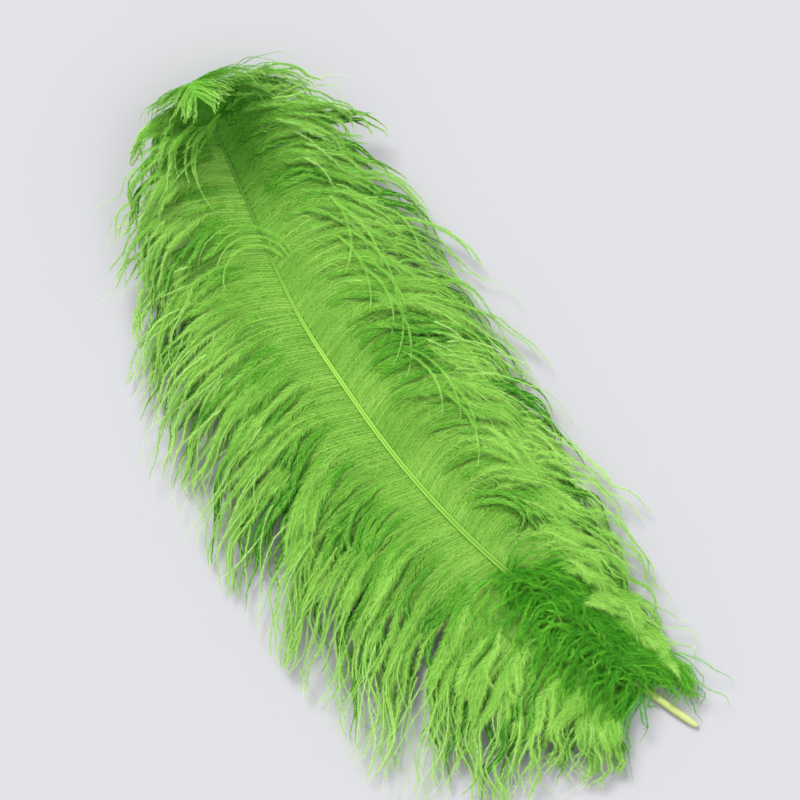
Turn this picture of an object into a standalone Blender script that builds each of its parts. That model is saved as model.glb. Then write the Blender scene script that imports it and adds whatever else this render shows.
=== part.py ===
# One large dyed ostrich plume, lying on its back with the grooved side of its shaft up.
# The quill's end is at -Y, and the tip at +Y curls up and over. Metres, +Z up.
# The origin is under the middle of the whole plume, on the surface that it lies on.
# The shaft and the two rows of barbs are separate closed solids. A row of barbs is a thin
# shell: it leaves the shaft at a slant, arches, sweeps back towards the quill and lies flat
# along its outer margin. Round the curled tip the margins rise into a shallow hood.
import bpy
import numpy as np

# Shaft
SHAFT_LENGTH = 0.680  # along its curve, from the quill's end to the curled tip
QUILL_END = (0.0664, -0.3132, 0.0022)  # centre of the quill's end
HEADING = (  # distance along the shaft, degrees that it leans from +Y towards -X
    (0.00, 18), (0.12, 11), (0.21, 10), (0.30, 2), (0.36, -3.5),
    (0.41, -3.5), (0.47, -13), (0.53, -15), (0.60, -13), (0.68, -10),
)
PITCH = (  # distance along the shaft, degrees that it climbs; past 90 it curls back
    (0.00, 3), (0.08, 3), (0.20, 0), (0.45, 0.5), (0.56, 2),
    (0.608, 8), (0.634, 50), (0.656, 105), (0.680, 160),
)
WIDTH = (  # distance along the shaft, width across it
    (0.000, 0.0032), (0.004, 0.0052), (0.012, 0.0060), (0.045, 0.0062), (0.10, 0.0056),
    (0.28, 0.0046), (0.42, 0.0034), (0.55, 0.0022), (0.63, 0.0014), (0.68, 0.0008),
)
SLIMNESS = 0.88  # depth of the shaft beside its width
GROOVE = 0.24  # depth of the groove beside the shaft's width
GROOVE_START, GROOVE_FULL = 0.045, 0.075  # where the groove begins and is at full depth
SHAFT_SIDES = 14

# Vanes
BARE_QUILL = 0.047  # below this the shaft carries no barbs
VANE_END = 0.677
CURL_START = 0.60  # rows of the shells stand closer from here on
FLAT_ROWS, CURL_ROWS, COLUMNS = 30, 15, 11
SHELL = 0.0026  # thickness of each shell
SHAFT_GAP = 0.0010  # between the shaft's side and a shell
SLANT = (  # distance along the shaft, degrees between a barb's root and the shaft
    (0.045, 80), (0.12, 74), (0.30, 66), (0.50, 64), (0.62, 62), (0.66, 50), (0.68, 30),
)
LEFT_LENGTH = (  # distance along the shaft, length of its barbs on the -X side
    (0.045, 0.085), (0.09, 0.120), (0.15, 0.165), (0.22, 0.186), (0.30, 0.178), (0.38, 0.160),
    (0.45, 0.140), (0.53, 0.120), (0.57, 0.102), (0.60, 0.070), (0.63, 0.046), (0.655, 0.030),
    (0.68, 0.020),
)
RIGHT_LENGTH = (  # the same on the +X side
    (0.045, 0.050), (0.09, 0.074), (0.15, 0.108), (0.22, 0.150), (0.30, 0.176), (0.38, 0.177),
    (0.45, 0.167), (0.53, 0.145), (0.57, 0.126), (0.60, 0.100), (0.63, 0.068), (0.655, 0.040),
    (0.68, 0.020),
)
LEFT_SWEEP = (  # distance along the shaft, share of the way round to the sweep at a barb's end
    (0.0, 1.00), (0.30, 0.97), (0.50, 0.88), (0.60, 0.82), (0.64, 0.60), (0.68, 0.30),
)
RIGHT_SWEEP = (
    (0.0, 0.74), (0.10, 0.77), (0.30, 0.79), (0.50, 0.72), (0.60, 0.62), (0.64, 0.55), (0.68, 0.30),
)
LEFT_HANG = (  # distance along the shaft, how much of the turn is made in the inner half
    (0.0, 0.9), (0.30, 0.75), (0.42, 0.35), (0.55, 0.20), (0.68, 0.3),
)
RIGHT_HANG = ((0.0, 0.15), (0.20, 0.30), (0.35, 0.15), (0.68, 0.1))
SWEEP_WAY = (-0.614, -0.789, 0.0)  # the barbs of both sides sweep back towards this way
CURL_SWEEP_WAY = (-0.612, -0.786, -0.08)  # and towards this one where the shaft curls over
SWEEP_POWER = 1.15  # above 1, a barb starts straighter and bends more further out
ARCH = 0.008  # how far a shell rises between the shaft and its flat margin
FLAT_FROM = 0.68  # share of a barb's length beyond which it lies flat
LIFT_START, LIFT_FULL = 0.560, 0.640  # where the margins begin to leave the surface, and have left
CURL_RISE = 0.5  # how much of the shaft's own climb the lifted barbs keep
FLOOR_EASE = 0.005  # height over which a lifted barb is turned up from the surface

CUP = (  # distance along the shaft, how far the hood lifts the outer part of the barbs
    (0.48, 0.0), (0.55, 0.016), (0.59, 0.032), (0.61, 0.030), (0.64, 0.015), (0.665, 0.0),
)
RIGHT_CUP = 0.6  # the right side's lift beside the left's
CUP_SHORTENING = 8  # how much a barb's reach shrinks past the rim, for each metre of lift
CUP_FALL = 0.15  # share of the lift that is lost again past the rim

PATH_STEPS = 34  # steps in which a barb's curve is summed


def eased(knots, at, width):
    """The values of a list of knots at the distances in at, rounded over the given width."""
    fine = np.linspace(-0.1, SHAFT_LENGTH + 0.1, 1801)
    values = np.interp(fine, *zip(*knots))
    reach = int(width / (fine[1] - fine[0])) // 2
    weights = np.hanning(2 * reach + 3)[1:-1]
    padded = np.pad(values, reach, mode="edge")
    return np.interp(at, fine, np.convolve(padded, weights / weights.sum(), mode="valid"))


def plain(knots, at):
    return np.interp(at, *zip(*knots))


def shaft_frame(at):
    """Centre, direction, right side and upper side of the shaft at the distances in at."""
    fine = np.linspace(0.0, SHAFT_LENGTH, 1401)
    heading = np.radians(eased(HEADING, fine, 0.06))
    pitch = np.radians(eased(PITCH, fine, 0.03))
    along = np.stack(
        [-np.sin(heading) * np.cos(pitch), np.cos(heading) * np.cos(pitch), np.sin(pitch)], 1
    )
    side = np.stack([np.cos(heading), np.sin(heading), 0 * heading], 1)
    steps = (along[1:] + along[:-1]) / 2 * (fine[1] - fine[0])
    centre = np.vstack([QUILL_END, QUILL_END + np.cumsum(steps, 0)])

    def read(rows):
        return np.stack([np.interp(at, fine, rows[:, i]) for i in range(3)], 1)

    return read(centre), read(along), read(side), read(np.cross(side, along))


def turned(start, end, share):
    """Unit vectors turned from start towards end by the given share of the angle between."""
    angle = np.arccos(np.clip((start * end).sum(-1, keepdims=True), -1, 1))
    return (np.sin((1 - share) * angle) * start + np.sin(share * angle) * end) / np.sin(angle)


def unit(vectors):
    return vectors / np.linalg.norm(vectors, axis=-1, keepdims=True)


def smooth_step(x):
    x = np.clip(x, 0.0, 1.0)
    return x * x * (3 - 2 * x)


def vane_surface(side_sign):
    """Middle surface of one row of barbs: rows run along the shaft, columns out along a barb.

    A barb starts at the shaft's side, slanted towards the tip, and its direction turns
    towards the sweep, low down in an early bend and higher up steadily. On the flat part its
    height follows an arch instead, and the hood's lift is added round the curled tip.
    """
    rows = np.concatenate(
        [
            np.linspace(BARE_QUILL, CURL_START, FLAT_ROWS, endpoint=False),
            np.linspace(CURL_START, VANE_END, CURL_ROWS),
        ]
    )
    centre, along, side, _ = shaft_frame(rows)
    lift = smooth_step((rows - LIFT_START) / (LIFT_FULL - LIFT_START))[:, None]
    slant = np.radians(plain(SLANT, rows))[:, None]
    root_way = np.cos(slant) * along + side_sign * np.sin(slant) * side
    root_way = unit(root_way * np.hstack([np.ones((len(rows), 2)), lift * CURL_RISE]))
    sweep_way = unit(np.array(SWEEP_WAY) * (1 - lift) + np.array(CURL_SWEEP_WAY) * lift)
    sweep = plain(LEFT_SWEEP if side_sign < 0 else RIGHT_SWEEP, rows)
    length = plain(LEFT_LENGTH if side_sign < 0 else RIGHT_LENGTH, rows)

    share = np.linspace(0.0, 1.0, PATH_STEPS + 1)
    hang = plain(LEFT_HANG if side_sign < 0 else RIGHT_HANG, rows)[:, None]
    bend = (1 - hang) * share**SWEEP_POWER + hang * smooth_step(share / 0.75)
    ways = turned(root_way[:, None], sweep_way[:, None], (sweep[:, None] * bend)[..., None])
    steps = (ways[:, 1:] + ways[:, :-1]) / 2 * (length[:, None, None] / PATH_STEPS)
    cup = plain(CUP, rows)[:, None] * (1.0 if side_sign < 0 else RIGHT_CUP)
    past_rim = smooth_step((share[1:] - 0.66) / 0.16)
    steps = steps * (1 - CUP_SHORTENING * cup * past_rim)[..., None]
    root = centre + side_sign * side * (plain(WIDTH, rows) / 2 + SHAFT_GAP)[:, None]
    path = np.concatenate([root[:, None], root[:, None] + np.cumsum(steps, 1)], 1)

    out = share / FLAT_FROM
    fall = 1 - smooth_step(out)
    arch = ARCH * np.sin(np.pi * smooth_step(out)) ** 2
    lying = SHELL / 2 + (centre[:, 2:3] - SHELL / 2) * fall + arch
    above = path[..., 2] - SHELL / 2
    lifted = SHELL / 2 + (above + np.hypot(above, FLOOR_EASE)) / 2
    rim = smooth_step(share / 0.72) * (1 - CUP_FALL * smooth_step((share - 0.74) / 0.36))
    path[..., 2] = lying * (1 - lift) + lifted * lift + cup * rim

    columns = np.linspace(0.0, 1.0, COLUMNS)
    return np.stack(
        [[np.interp(columns, share, row[:, i]) for i in range(3)] for row in path]
    ).transpose(0, 2, 1)


def material(name, colour, roughness):
    result = bpy.data.materials.new(name)
    result.use_nodes = True
    shader = result.node_tree.nodes["Principled BSDF"]
    shader.inputs["Base Color"].default_value = (*colour, 1.0)
    shader.inputs["Roughness"].default_value = roughness
    shader.inputs["Metallic"].default_value = 0.0
    return result


def mesh_object(name, points, faces, look, parent):
    mesh = bpy.data.meshes.new(name)
    mesh.from_pydata([tuple(p) for p in points], [], faces)
    mesh.update()
    mesh.shade_smooth()
    mesh.materials.append(look)
    result = bpy.data.objects.new(name, mesh)
    bpy.context.collection.objects.link(result)
    result.parent = parent
    return result


def grid_faces(rows, columns, wrap):
    """Quads of a grid of points, joined round the end of each row if wrap is true."""
    last = columns if wrap else columns - 1
    return [
        (
            row * columns + column,
            row * columns + (column + 1) % columns,
            (row + 1) * columns + (column + 1) % columns,
            (row + 1) * columns + column,
        )
        for row in range(rows - 1)
        for column in range(last)
    ]


def make_shaft(look, parent):
    """The quill and shaft: rings that turn from round to a rounded square with a groove."""
    at = np.concatenate(
        [
            (0.0, 0.0015, 0.004, 0.008),
            np.linspace(0.014, CURL_START, 34, endpoint=False),
            np.linspace(CURL_START, SHAFT_LENGTH, 22),
        ]
    )
    centre, _, side, up = shaft_frame(at)
    width = plain(WIDTH, at)
    turn = np.linspace(0, 2 * np.pi, SHAFT_SIDES, endpoint=False) + np.pi / 2
    across, height = np.cos(turn), np.sin(turn)
    squareness = 1 + 0.10 * np.sin(2 * turn) ** 2
    groove = smooth_step((at - GROOVE_START) / (GROOVE_FULL - GROOVE_START))[:, None]
    dip = GROOVE * np.clip(1 - np.abs(turn - np.pi / 2) / (2 * np.pi / SHAFT_SIDES), 0, 1)
    half = width[:, None] / 2
    out = half * across * (1 + (squareness - 1) * groove)
    rise = half * height * SLIMNESS * (1 + (squareness - 1) * groove) - width[:, None] * dip * groove
    points = centre[:, None] + out[..., None] * side[:, None] + rise[..., None] * up[:, None]

    rings = len(at)
    faces = grid_faces(rings, SHAFT_SIDES, wrap=True)
    faces.append(tuple(reversed(range(SHAFT_SIDES))))
    faces.append(tuple(range((rings - 1) * SHAFT_SIDES, rings * SHAFT_SIDES)))
    faces = [tuple(reversed(face)) for face in faces]
    shaft = mesh_object("shaft", points.reshape(-1, 3), faces, look, parent)
    shaft.data.set_sharp_from_angle(angle=np.radians(50))


def make_vane(name, side_sign, look, parent):
    """One row of barbs as a thin shell, thickened equally both ways from its middle surface."""
    surface = vane_surface(side_sign)
    rows, columns = surface.shape[:2]
    faces = grid_faces(rows, columns, wrap=False)
    if side_sign > 0:
        faces = [tuple(reversed(face)) for face in faces]
    vane = mesh_object(name, surface.reshape(-1, 3), faces, look, parent)
    wall = vane.modifiers.new("thickness", "SOLIDIFY")
    wall.thickness = SHELL
    wall.offset = 0.0
    wall.use_even_offset = False


def main():
    for old in list(bpy.data.objects):
        bpy.data.objects.remove(old)
    plume = bpy.data.objects.new("plume", None)
    bpy.context.collection.objects.link(plume)
    shaft_look = material("shaft", (0.33, 0.58, 0.10), 0.42)
    vane_look = material("vane", (0.20, 0.46, 0.06), 0.72)
    make_shaft(shaft_look, plume)
    make_vane("left_vane", -1, vane_look, plume)
    make_vane("right_vane", 1, vane_look, plume)


main()
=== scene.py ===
import math
import bpy
import numpy as np
from mathutils import Matrix, Vector


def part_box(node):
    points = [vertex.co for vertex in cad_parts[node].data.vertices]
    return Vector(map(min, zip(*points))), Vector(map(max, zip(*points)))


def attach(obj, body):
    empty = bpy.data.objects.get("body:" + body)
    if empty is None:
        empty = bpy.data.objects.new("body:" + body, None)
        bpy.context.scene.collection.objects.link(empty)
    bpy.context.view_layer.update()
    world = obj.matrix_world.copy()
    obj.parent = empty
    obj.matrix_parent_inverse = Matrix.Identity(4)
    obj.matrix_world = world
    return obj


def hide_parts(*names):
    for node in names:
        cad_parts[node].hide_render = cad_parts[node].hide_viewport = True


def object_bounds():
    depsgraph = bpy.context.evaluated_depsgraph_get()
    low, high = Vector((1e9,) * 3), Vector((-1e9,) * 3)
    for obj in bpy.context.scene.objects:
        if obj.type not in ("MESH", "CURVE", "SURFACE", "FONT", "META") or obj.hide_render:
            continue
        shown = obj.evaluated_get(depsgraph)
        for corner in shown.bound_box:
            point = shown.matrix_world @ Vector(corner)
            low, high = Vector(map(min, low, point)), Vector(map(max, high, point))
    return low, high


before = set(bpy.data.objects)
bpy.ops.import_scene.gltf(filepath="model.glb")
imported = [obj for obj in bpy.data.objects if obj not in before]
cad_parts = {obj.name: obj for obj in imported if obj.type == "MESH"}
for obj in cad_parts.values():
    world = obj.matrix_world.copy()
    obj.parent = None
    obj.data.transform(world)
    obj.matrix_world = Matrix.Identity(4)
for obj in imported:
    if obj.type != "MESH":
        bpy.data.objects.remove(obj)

# A large dyed ostrich plume lying on its back: a grooved shaft that bows and curls over at the
# tip, and two rows of soft barbs that sweep back, felt together near the shaft and part into
# drooping locks further out. Metres, quill at -Y, tip at +Y.

cadBox = [list(corner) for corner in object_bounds()]
print("frame loaded", [round(high - low, 3) for low, high in zip(*cadBox)])

# the plume's own lines, in pairs of distance along the shaft and value
plume = {
    "length": 0.680,
    "heading": ((0.00, 18), (0.12, 11), (0.21, 10), (0.30, 2), (0.36, -3.5),
                (0.41, -3.5), (0.47, -13), (0.53, -15), (0.60, -13), (0.68, -10)),
    "pitch": ((0.00, 3), (0.08, 3), (0.20, 0), (0.45, 0.5), (0.56, 2),
              (0.608, 8), (0.634, 50), (0.656, 105), (0.680, 160)),
    "width": ((0.000, 0.0032), (0.004, 0.0052), (0.012, 0.0060), (0.045, 0.0062), (0.10, 0.0056),
              (0.28, 0.0046), (0.42, 0.0034), (0.55, 0.0022), (0.63, 0.0014), (0.68, 0.0008)),
    "slant": ((0.045, 80), (0.12, 74), (0.30, 66), (0.50, 64), (0.62, 62), (0.66, 50), (0.68, 30)),
    "leftLength": ((0.045, 0.070), (0.09, 0.112), (0.15, 0.165), (0.22, 0.188), (0.30, 0.182),
                   (0.38, 0.170), (0.45, 0.152), (0.53, 0.131), (0.57, 0.108), (0.60, 0.072),
                   (0.63, 0.046), (0.655, 0.030), (0.68, 0.020)),
    "rightLength": ((0.045, 0.050), (0.09, 0.074), (0.15, 0.108), (0.22, 0.150), (0.30, 0.176),
                    (0.38, 0.177), (0.45, 0.167), (0.53, 0.145), (0.57, 0.126), (0.60, 0.100),
                    (0.63, 0.068), (0.655, 0.040), (0.68, 0.020)),
    "leftSweep": ((0.0, 1.00), (0.30, 0.97), (0.50, 0.88), (0.60, 0.82), (0.64, 0.60), (0.68, 0.30)),
    "rightSweep": ((0.0, 0.93), (0.10, 0.96), (0.22, 0.94), (0.32, 0.88), (0.50, 0.78),
                   (0.60, 0.64), (0.64, 0.55), (0.68, 0.30)),
    "leftHang": ((0.0, 0.9), (0.30, 0.75), (0.42, 0.35), (0.55, 0.20), (0.68, 0.3)),
    "rightHang": ((0.0, 0.45), (0.20, 0.42), (0.35, 0.20), (0.68, 0.1)),
    "sweepWay": (-0.614, -0.789, 0.0),
    "curlSweepWay": (-0.612, -0.786, -0.08),
    "sweepPower": 1.15,
    "arch": ((0.0, 0.007), (0.15, 0.012), (0.40, 0.013), (0.56, 0.010), (0.68, 0.006)),
    "cup": ((0.48, 0.0), (0.55, 0.016), (0.59, 0.032), (0.61, 0.030), (0.64, 0.015), (0.665, 0.0)),
    "rightCup": 0.6, "cupShortening": 8, "cupFall": 0.15,
    "hangTo": 0.75,  # shares of a barb's length: where an early bend ends,
    "rimFrom": 0.66, "rimTo": 0.82, "rimTop": 0.72, "fallFrom": 0.74, "fallTo": 1.10,  # the cup's rim,
    "archEnd": 1.15, "flatFrom": 0.80,  # the end of its arch, and where it lies flat
    "archPower": 1.2,
    "rootOut": 0.42,  # of the shaft's width, from its middle to where a barb starts
    "edgeHeight": 0.0016,
    "liftFrom": 0.560, "liftTo": 0.640,  # the shaft leaves the surface
    "curlRise": 0.5,
    "floorEase": 0.005,
}


def smoothStep(x):  # 3x^2 - 2x^3 between 0 and 1
    x = np.clip(x, 0.0, 1.0)
    return x * x * (3 - 2 * x)


def unit(vectors):
    return vectors / np.maximum(np.linalg.norm(vectors, axis=-1, keepdims=True), 1e-9)


def knotValue(knots, at):  # straight runs between the pairs
    return np.interp(at, *zip(*knots))


# straight runs between the pairs, rounded by a bell-shaped average of the given width
def roundedKnots(knots, at, width):
    fine = np.linspace(-0.1, plume["length"] + 0.1, 1801)
    reach = int(width / (fine[1] - fine[0])) // 2
    bell = np.hanning(2 * reach + 3)[1:-1]
    padded = np.pad(knotValue(knots, fine), reach, mode="edge")
    return np.interp(at, fine, np.convolve(padded, bell / bell.sum(), mode="valid"))


# the shaft's line is the running sum of its direction, which its heading and pitch give;
# its side is level and square to it, and its upper side square to both
def shaftFrame(at, start=(0.0, 0.0, 0.0)):
    at = np.asarray(at, float)
    fine = np.linspace(0.0, plume["length"], 1401)
    heading = np.radians(roundedKnots(plume["heading"], fine, 0.06))
    pitch = np.radians(roundedKnots(plume["pitch"], fine, 0.03))
    along = np.stack([-np.sin(heading) * np.cos(pitch), np.cos(heading) * np.cos(pitch),
                      np.sin(pitch)], 1)
    side = np.stack([np.cos(heading), np.sin(heading), 0 * heading], 1)
    steps = (along[1:] + along[:-1]) / 2 * (fine[1] - fine[0])
    centre = np.vstack([start, start + np.cumsum(steps, 0)])
    rows = (centre, along, side, np.cross(side, along))
    return [np.stack([np.interp(at, fine, row[:, i]) for i in range(3)], -1) for row in rows]


# a share of the way round from one direction to another, at an even rate of turn
def turnTowards(start, end, share):
    angle = np.arccos(np.clip((start * end).sum(-1, keepdims=True), -1, 1))
    return (np.sin((1 - share) * angle) * start + np.sin(share * angle) * end) / np.maximum(
        np.sin(angle), 1e-6)


shaftLook = {"rings": 260, "sides": 28, "slimness": 0.88, "squareness": 0.10, "groove": 0.48,
             "grooveWidth": 0.26, "grooveFrom": 0.045, "grooveTo": 0.075, "ridge": 0.012,
             "ridges": 9, "ridgeTwist": 14,
             "endRings": (0, 0.0008, 0.002, 0.004, 0.007, 0.011), "ringsFrom": 0.016,  # of its length
             # painted shade down the shaft's sides and in its groove, from a little above the quill
             "sideShadePower": 3, "groovePaintedShade": 0.9, "groovePaintedShadeWidth": 0.3,
             "paintedShadeFrom": 0.04, "paintedShadeOver": 0.05}


# rings square to the shaft's line: a circle flattened a little, squared off above the quill,
# with a narrow groove along the top and fine ridges all round
def shaftSurface(start):
    end = plume["length"]
    at = np.concatenate([end * np.array(shaftLook["endRings"]),
                         np.linspace(shaftLook["ringsFrom"] * end, end, shaftLook["rings"])])
    centre, _, side, up = shaftFrame(at, start)
    half = knotValue(plume["width"], at)[:, None] / 2
    turn = np.linspace(0, 2 * np.pi, shaftLook["sides"], endpoint=False)[None, :] + np.pi / 2
    runIn = shaftLook["grooveTo"] - shaftLook["grooveFrom"]
    grooved = smoothStep((at - shaftLook["grooveFrom"]) / runIn)[:, None]
    full = 1 + shaftLook["squareness"] * np.sin(2 * turn) ** 2 * grooved
    twist = shaftLook["ridgeTwist"] * at[:, None]
    full = full * (1 + shaftLook["ridge"] * np.sin(shaftLook["ridges"] * turn + twist))
    dip = sum(shaftLook["groove"] * np.exp(-((turn - top) / shaftLook["grooveWidth"]) ** 2) * grooved
              for top in (np.pi / 2, np.pi * 5 / 2))  # the groove's middle, before and after a full turn
    out = half * np.cos(turn) * full
    rise = half * (np.sin(turn) * shaftLook["slimness"] * full - dip)
    return at, centre[:, None] + out[..., None] * side[:, None] + rise[..., None] * up[:, None]


# the quill's end is put so that the shaft made here fills the same box as the frame's shaft
def placeQuill():
    low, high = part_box("shaft")
    made = shaftSurface(np.zeros(3))[1].reshape(-1, 3)
    return (np.array(low) + np.array(high)) / 2 - (made.min(0) + made.max(0)) / 2


quillEnd = placeQuill()
print("quill's end at", quillEnd.round(4))


# a mesh from arrays of points and triangles, with what each point's colour is worked out from
def addMesh(name, points, triangles, traits, material):
    mesh = bpy.data.meshes.new(name)
    mesh.vertices.add(len(points))
    mesh.vertices.foreach_set("co", np.ascontiguousarray(points, np.float32).ravel())
    mesh.loops.add(triangles.size)
    mesh.loops.foreach_set("vertex_index", triangles.astype(np.int32).ravel())
    mesh.polygons.add(len(triangles))
    mesh.polygons.foreach_set("loop_start", np.arange(0, triangles.size, 3, dtype=np.int32))
    mesh.update(calc_edges=True)
    mesh.shade_smooth()
    layer = mesh.attributes.new("traits", "FLOAT_VECTOR", "POINT")
    layer.data.foreach_set("vector", np.ascontiguousarray(traits, np.float32).ravel())
    mesh.materials.append(material)
    piece = bpy.data.objects.new(name, mesh)
    bpy.context.scene.collection.objects.link(piece)
    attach(piece, "root")
    print(f"  {name}: {len(triangles)} triangles")
    return piece


# what sets one barb apart from the next; every value is an array over the barbs
def newBarbs(side, at, rng, length=1.0, lengthSpread=0.06, sweepSpread=0.04, slantSpread=2.0):
    count = len(at)
    ownLength = knotValue(plume["leftLength" if side < 0 else "rightLength"], at)
    ownSweep = knotValue(plume["leftSweep" if side < 0 else "rightSweep"], at)
    return {
        "side": np.full(count, float(side)),
        "at": np.asarray(at, float),
        "length": ownLength * length * (1 + rng.normal(0, lengthSpread, count)),
        "sweep": ownSweep * (1 + rng.normal(0, sweepSpread, count)),
        "slant": knotValue(plume["slant"], at) + rng.normal(0, slantSpread, count),
        "raise": np.zeros(count),
        "tone": rng.random(count),
    }


# a barb's line is the running sum of a direction that starts at the shaft's side, slanted
# towards the tip, and turns towards the sweep, low down in an early bend and higher up steadily;
# on the flat part its height is instead a fall from the shaft to the surface plus an arch, and
# round the curl a cup is added that lifts the barbs' outer part into a rim, past which they
# fall steeply
def barbPaths(barbs, steps=28):
    at, side = barbs["at"], barbs["side"][:, None]
    centre, along, sideways = shaftFrame(at, quillEnd)[:3]
    lift = smoothStep((at - plume["liftFrom"]) / (plume["liftTo"] - plume["liftFrom"]))[:, None]
    slant = np.radians(barbs["slant"])[:, None]
    rootWay = np.cos(slant) * along + side * np.sin(slant) * sideways
    rootWay = unit(rootWay * np.hstack([np.ones((len(at), 2)), lift * plume["curlRise"]]))
    sweepWay = unit(np.array(plume["sweepWay"]) * (1 - lift) + np.array(plume["curlSweepWay"]) * lift)
    share = np.linspace(0.0, 1.0, steps + 1)
    hang = np.where(side < 0, knotValue(plume["leftHang"], at)[:, None],
                    knotValue(plume["rightHang"], at)[:, None])
    bend = (1 - hang) * share ** plume["sweepPower"] + hang * smoothStep(share / plume["hangTo"])
    bend = barbs["sweep"][:, None] * bend
    ways = turnTowards(rootWay[:, None], sweepWay[:, None], bend[..., None])
    moves = (ways[:, 1:] + ways[:, :-1]) / 2 * (barbs["length"][:, None, None] / steps)
    cup = knotValue(plume["cup"], at)[:, None] * np.where(side < 0, 1.0, plume["rightCup"])
    pastRim = smoothStep((share[1:] - plume["rimFrom"]) / (plume["rimTo"] - plume["rimFrom"]))
    moves = moves * (1 - plume["cupShortening"] * cup * pastRim)[..., None]
    root = centre + side * sideways * knotValue(plume["width"], at)[:, None] * plume["rootOut"]
    paths = np.concatenate([root[:, None], root[:, None] + np.cumsum(moves, 1)], 1)
    edge = plume["edgeHeight"]
    out = share / plume["flatFrom"]
    arch = knotValue(plume["arch"], at)[:, None] + barbs["raise"][:, None]
    lying = edge + (root[:, 2:3] - edge) * (1 - smoothStep(out))
    lying = lying + arch * np.sin(np.pi * smoothStep(share / plume["archEnd"])) ** plume["archPower"]
    above = paths[..., 2] - edge
    lifted = edge + (above + np.hypot(above, plume["floorEase"])) / 2
    lifted = lifted + barbs["raise"][:, None] * np.sin(np.pi * share / plume["archEnd"])
    fall = smoothStep((share - plume["fallFrom"]) / (plume["fallTo"] - plume["fallFrom"]))
    rim = smoothStep(share / plume["rimTop"]) * (1 - plume["cupFall"] * fall)
    paths[..., 2] = lying * (1 - lift) + lifted * lift + cup * rim
    return paths


roomShare, roomMore = 0.03, 0.008  # how far barbs may reach past the plume's box


# a barb that would reach further out than that is shortened, so that it ends just inside
def trimmed(paths):
    low, high = np.array(cadBox)
    room = (high - low) * roomShare + roomMore
    inside = np.all((paths >= low - room) & (paths <= high + room), axis=2)
    inside = np.minimum.accumulate(inside, axis=1)
    reach = inside.sum(1) / paths.shape[1]
    return readRows(paths, np.linspace(0, 1, paths.shape[1])[None, :] * reach[:, None])


# directions along, across and out of the sheet of barbs, at every point of their lines
def pathFrames(barbs, paths):
    tangent = unit(np.gradient(paths, axis=1))
    lift = smoothStep((barbs["at"] - plume["liftFrom"]) / (plume["liftTo"] - plume["liftFrom"]))
    up = shaftFrame(barbs["at"])[3]
    facing = unit(np.array([0, 0, 1.0]) * (1 - lift[:, None]) + up * lift[:, None])[:, None]
    across = unit(np.cross(tangent, facing + 0 * tangent))
    return tangent, across, unit(np.cross(across, tangent))


# reads rows of points at any share of their length, straight between the points
def readRows(rows, share):
    last = rows.shape[1] - 1
    place = np.clip(share, 0, 1) * last
    index = np.minimum(place.astype(int), last - 1)
    part = (place - index)[..., None]
    line = np.arange(len(rows))[:, None]
    return rows[line, index] * (1 - part) + rows[line, index + 1] * part


# neighbouring barbs are drawn, from a share of their length on, towards the middle one of
# their lock, and each keeps a part of its own distance from it
def gatherLocks(paths, lock, start, end, strength):
    share = np.linspace(0, 1, paths.shape[1])[None, :, None]
    order = np.arange(len(paths))
    first = np.zeros(lock.max() + 1, int)
    count = np.bincount(lock)
    np.maximum.at(first, lock, order)
    middle = first[lock] - count[lock] // 2
    pull = smoothStep((share - start) / (end - start)) * strength[:, None, None]
    return paths + (paths[middle] - paths) * pull


def lockNumbers(count, smallest, largest, rng):  # runs of neighbours with a random size each
    sizes = rng.integers(smallest, largest + 1, count)
    return np.repeat(np.arange(count), sizes)[:count]


# turns along a barb, least and how much more at most; and the quick wave's size
waves = {"slow": (0.55, 0.5), "quick": (1.3, 1.0), "up": (0.6, 0.6), "quickSize": 0.45}


# a wander across, made of a slow and a quick wave that both start at nothing, and one wave up,
# all with random turns and growing along the barb
def wander(paths, across, facing, rng, size, lift, groups=None, power=1.6, cycles=1.0):
    count, points = paths.shape[:2]
    share = np.linspace(0, 1, points)[None, :]
    draws = rng.random((4, count if groups is None else groups.max() + 1))
    if groups is not None:
        draws = draws[:, groups]
    phase = draws * 2 * np.pi
    turns = 2 * np.pi * cycles * share
    slow, quick, up = (waves[name][0] + waves[name][1] * draws[i][:, None]
                       for name, i in (("slow", 1), ("quick", 2), ("up", 3)))
    sway = np.sin(slow * turns + phase[0][:, None]) - np.sin(phase[0])[:, None]
    sway = sway + waves["quickSize"] * (np.sin(quick * turns + phase[2][:, None])
                                        - np.sin(phase[2])[:, None])
    bob = 0.5 - 0.5 * np.cos(up * turns)
    grow = share ** power
    paths = paths + across * (sway * grow * size)[..., None]
    return paths + facing * (bob * grow * lift)[..., None]


def aboveFloor(points, lowest=0.0004):
    points[..., 2] = np.maximum(points[..., 2], lowest)
    return points


# flat ribbons along the barbs: a width from the given share-width pairs, faces looking out
def ribbons(barbs, paths, widths, tilt=0.0, drop=0.0, fuzz=0.0):
    across, facing = pathFrames(barbs, paths)[1:]
    share = np.linspace(0, 1, paths.shape[1])
    half = knotValue(widths, share)[None, :, None] / 2
    lean = across * np.cos(tilt) + facing * np.sin(tilt)
    middle = paths - facing * drop
    points = aboveFloor(np.stack([middle - lean * half, middle + lean * half], 2))
    count, steps = paths.shape[:2]
    corner = np.arange(count * steps * 2).reshape(count, steps, 2)
    a, b = corner[:, :-1, 0], corner[:, :-1, 1]
    c, d = corner[:, 1:, 1], corner[:, 1:, 0]
    triangles = np.stack([a, b, c, a, c, d], -1).reshape(-1, 3)
    traits = np.zeros((count, steps, 2, 3))
    traits[..., 0] = share[None, :, None]
    traits[..., 1] = barbs["tone"][:, None, None]
    traits[..., 2] = fuzz
    return points.reshape(-1, 3), triangles, traits.reshape(-1, 3)


barbuleLook = {"slantSpread": 0.25, "shortest": 0.7, "longest": 1.25, "twist": 0.6,
               "forward": 0.35, "bend": 0.5, "toneSpread": 0.16}


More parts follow.
